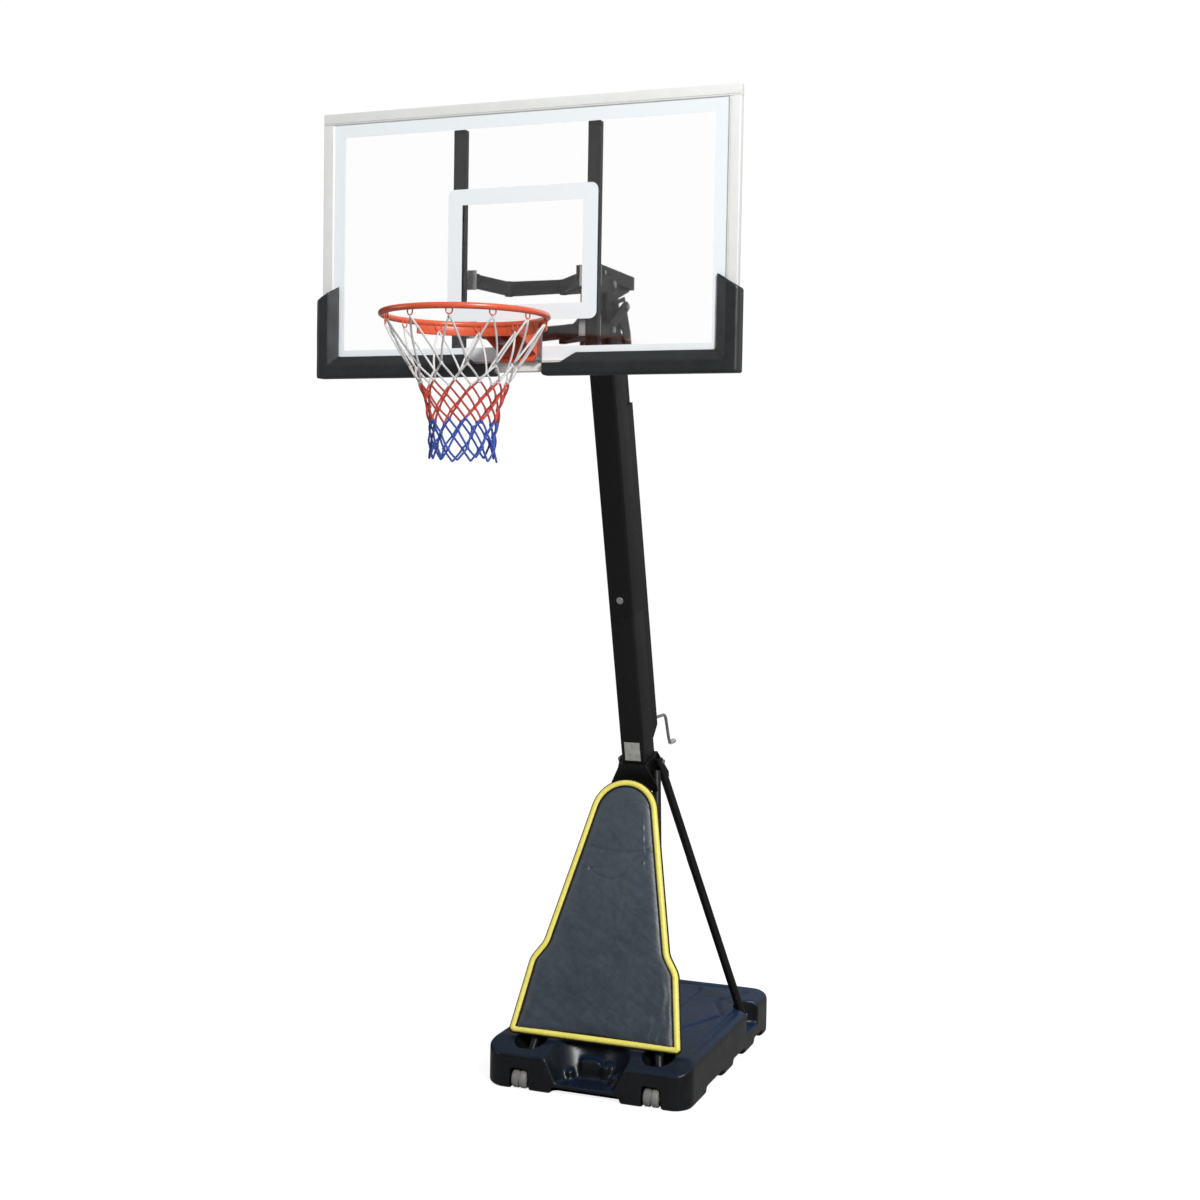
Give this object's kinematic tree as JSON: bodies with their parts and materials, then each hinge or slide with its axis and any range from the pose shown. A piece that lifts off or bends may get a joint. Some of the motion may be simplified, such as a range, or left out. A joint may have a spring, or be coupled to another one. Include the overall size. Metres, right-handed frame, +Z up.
{
  "type": "portable basketball hoop",
  "caption": "Free-standing adjustable basketball hoop: clear framed board on parallel arms, crank-driven lift on a leaning pole, padded legs and a wheeled ballast tank",
  "frame": {"origin": "middle of the base tank's footprint, on the ground", "axes": "+Z up; -Y towards the court, the way the board faces; +X to the right when looking along +Y"},
  "size_m": [1.392, 2.328, 3.269],
  "materials": {
    "tank_plastic": "blow-moulded, lightly pebbled, navy black",
    "sand": "loose ballast sand",
    "cap_plastic": "moulded, ribbed",
    "wheel_plastic": "moulded grey",
    "zinc_steel": "zinc plated",
    "spring_steel": "zinc plated wire",
    "black_steel": "black powder coat",
    "bronze": "machined",
    "grip_plastic": "moulded grip",
    "label_foil": "blank foil",
    "pad_vinyl": "coated fabric, fine grain, slate grey",
    "piping_yellow": "yellow bound piping",
    "webbing": "woven strap",
    "frame_aluminium": "warm white powder coat on aluminium",
    "clear_board": "clear, polished",
    "white_print": "screen-printed white line",
    "board_pad_foam": "moulded foam, charcoal",
    "ring_orange": "orange-red enamel",
    "net_cord": "braided cord in white, red and blue bands"
  },
  "bodies": {
    "base": {"base_tank": "tank_plastic", "ballast_sand": "sand", "wheel_axles": "zinc_steel", "front_leg_left": "black_steel", "front_leg_right": "black_steel", "rear_strut_left": "black_steel", "rear_strut_right": "black_steel", "leg_bolts": "zinc_steel", "pole_socket": "black_steel", "pole_lower": "black_steel", "pole_upper": "black_steel", "pole_sleeve": "black_steel", "pole_bolt": "zinc_steel", "head_cheek_left": "black_steel", "head_cheek_right": "black_steel", "head_top": "black_steel", "head_bolts": "zinc_steel", "arm_pivot_bolts": "zinc_steel", "jack_channel": "black_steel", "gear_case": "black_steel", "blank_labels": "label_foil", "pole_pad": "pad_vinyl", "pad_piping": "piping_yellow", "pad_straps": "webbing"},
    "cap": {"fill_cap": "cap_plastic"},
    "left_wheel": {"wheel_left": "wheel_plastic"},
    "right_wheel": {"wheel_right": "wheel_plastic"},
    "screw": {"lead_screw": "zinc_steel"},
    "crank": {"crank_shaft": "zinc_steel"},
    "grip": {"crank_grip": "grip_plastic"},
    "jack": {"push_tube": "black_steel", "screw_nut": "bronze", "lift_yoke": "black_steel"},
    "lower_arms": {"lower_arm_left": "black_steel", "lower_arm_right": "black_steel", "tail_pins": "zinc_steel"},
    "upper_arms": {"upper_arm_left": "black_steel", "upper_arm_right": "black_steel"},
    "board": {"frame_top": "frame_aluminium", "frame_bottom": "frame_aluminium", "frame_left": "frame_aluminium", "frame_right": "frame_aluminium", "clear_panel": "clear_board", "border_line": "white_print", "target_square": "white_print", "back_bar_left": "black_steel", "back_bar_right": "black_steel", "cross_bars": "black_steel", "arm_brackets": "zinc_steel", "bracket_bolts": "zinc_steel", "board_pad_left": "board_pad_foam", "board_pad_right": "board_pad_foam", "rim_base_plate": "zinc_steel", "rim_spring_bolts": "zinc_steel", "rim_springs": "spring_steel"},
    "rim": {"rim_plate": "ring_orange", "rim_ring": "ring_orange", "rim_brace": "ring_orange", "net_hooks": "ring_orange", "net": "net_cord"}
  },
  "joints": [
    {"name": "lift", "type": "hinge", "parent": "base", "child": "lower_arms", "pos_m": [0, -0.58, 2.64], "axis": [-1, 0, 0], "range_deg": [-34, 62]},
    {"name": "upper_lift", "type": "hinge", "parent": "base", "child": "upper_arms", "pos_m": [0, -0.58, 2.79], "axis": [-1, 0, 0], "range_deg": [-34, 62]},
    {"name": "board_level", "type": "hinge", "parent": "lower_arms", "child": "board", "pos_m": [0, -1.085, 2.592], "axis": [-1, 0, 0], "range_deg": [-62, 34]},
    {"name": "jack_travel", "type": "slide", "parent": "base", "child": "jack", "axis": [0, -0.2756, 0.9613], "range_m": [-0.205, 0.113]},
    {"name": "screw_turn", "type": "hinge", "parent": "base", "child": "screw", "pos_m": [0, 0.04226, 1.25729], "axis": [0, -0.2756, 0.9613], "continuous": true},
    {"name": "crank_turn", "type": "hinge", "parent": "base", "child": "crank", "pos_m": [0, 0.04226, 1.25729], "axis": [0, 1, 0], "continuous": true},
    {"name": "grip_spin", "type": "hinge", "parent": "crank", "child": "grip", "pos_m": [0, 0.33626, 1.14129], "axis": [0, 1, 0], "continuous": true},
    {"name": "breakaway", "type": "hinge", "parent": "board", "child": "rim", "pos_m": [0, -1.182, 2.487], "axis": [1, 0, 0], "range_deg": [0, 15], "stiffness_Nm_per_rad": 420, "springref_deg": -14.32, "deforming": ["rim_springs"]},
    {"name": "left_wheel_roll", "type": "hinge", "parent": "base", "child": "left_wheel", "pos_m": [-0.245, -0.503, 0.035], "axis": [1, 0, 0], "continuous": true},
    {"name": "right_wheel_roll", "type": "hinge", "parent": "base", "child": "right_wheel", "pos_m": [0.245, -0.503, 0.035], "axis": [1, 0, 0], "continuous": true},
    {"name": "cap_turn", "type": "hinge", "parent": "base", "child": "cap", "pos_m": [-0.17, 0.33, 0.165], "axis": [0, 0, 1], "range_deg": [0, 270]}
  ],
  "couplings": [
    {"joint": "upper_lift", "follows": "lift", "ratio": 1},
    {"joint": "board_level", "follows": "lift", "ratio": -1},
    {"joint": "jack_travel", "follows": "lift", "m_per_rad": -0.187},
    {"joint": "screw_turn", "follows": "crank_turn", "ratio": -1}
  ]
}
